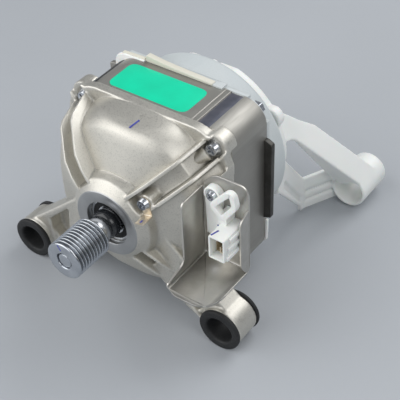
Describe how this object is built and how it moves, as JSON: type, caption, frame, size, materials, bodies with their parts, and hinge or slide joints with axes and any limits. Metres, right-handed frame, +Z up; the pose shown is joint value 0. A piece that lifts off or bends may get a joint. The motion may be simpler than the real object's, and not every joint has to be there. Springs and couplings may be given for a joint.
{
  "type": "washing machine motor",
  "caption": "Belt drive motor with a domed cast front bell, square steel body, round rear cap, grooved pulley, bushed front lugs and sleeved rear legs.",
  "frame": {"origin": "middle of the part's footprint, on the surface that its front bushes and rear sleeves stand on", "axes": "+Y along the shaft from the pulley to the rear legs, +Z up, +X towards the connector"},
  "size_m": [0.1716, 0.2234, 0.1243],
  "materials": {
    "cast_aluminium": "as cast, lightly blasted",
    "jacket_steel": "satin rolled sheet",
    "core_steel": "stacked laminations",
    "white_plastic": "moulded, satin",
    "grey_plastic": "moulded, satin",
    "copper_winding": "enamelled wire",
    "label_film": "bare printed film",
    "bearing_steel": "ground",
    "black_rubber": "moulded",
    "black_plastic": "moulded",
    "zinc_steel": "bright zinc plated",
    "tray_steel": "pressed galvanised sheet",
    "tab_brass": "tinned",
    "board": "lacquered",
    "turned_steel": "turned",
    "magnet": "sintered",
    "cage_plastic": "moulded"
  },
  "bodies": {
    "frame": {"front_bell": "cast_aluminium", "stator_jacket": "jacket_steel", "stator_core": "core_steel", "rear_bracket": "white_plastic", "front_insulator": "white_plastic", "rear_insulator": "white_plastic", "connector_housing": "white_plastic", "rear_cap": "grey_plastic", "stator_winding": "copper_winding", "label_plate": "label_film", "front_bearing_outer": "bearing_steel", "rear_bearing_outer": "bearing_steel", "left_lug_bush": "black_rubber", "right_lug_bush": "black_rubber", "front_bearing_seals": "black_rubber", "rear_bearing_seals": "black_rubber", "hall_sensors": "black_plastic", "corner_screws": "zinc_steel", "corner_nuts": "zinc_steel", "earth_screw": "zinc_steel", "connector_screw": "zinc_steel", "tray_rivet": "zinc_steel", "bracket_screws": "zinc_steel", "wave_washer": "zinc_steel", "connector_tray": "tray_steel", "earth_tab": "tab_brass", "connector_terminals": "tab_brass", "hall_board": "board"},
    "rotor": {"shaft": "turned_steel", "pulley": "turned_steel", "shaft_collar": "turned_steel", "shaft_slinger": "black_plastic", "front_bearing_inner": "bearing_steel", "rear_bearing_inner": "bearing_steel", "rotor_core": "core_steel", "rotor_magnets": "magnet", "tacho_magnet": "magnet"},
    "front_ball_set": {"front_cage": "cage_plastic", "front_balls": "bearing_steel"},
    "rear_ball_set": {"rear_cage": "cage_plastic", "rear_balls": "bearing_steel"}
  },
  "joints": [
    {"name": "rotor_spin", "type": "hinge", "parent": "frame", "child": "rotor", "pos_m": [0, -0.07425, 0.0668], "axis": [0, 1, 0], "continuous": true},
    {"name": "front_balls_spin", "type": "hinge", "parent": "frame", "child": "front_ball_set", "pos_m": [0, -0.06525, 0.0668], "axis": [0, 1, 0], "continuous": true},
    {"name": "rear_balls_spin", "type": "hinge", "parent": "frame", "child": "rear_ball_set", "pos_m": [0, 0.02475, 0.0668], "axis": [0, 1, 0], "continuous": true}
  ],
  "couplings": [
    {"joint": "front_balls_spin", "follows": "rotor_spin", "ratio": 0.39182},
    {"joint": "rear_balls_spin", "follows": "rotor_spin", "ratio": 0.39182}
  ]
}
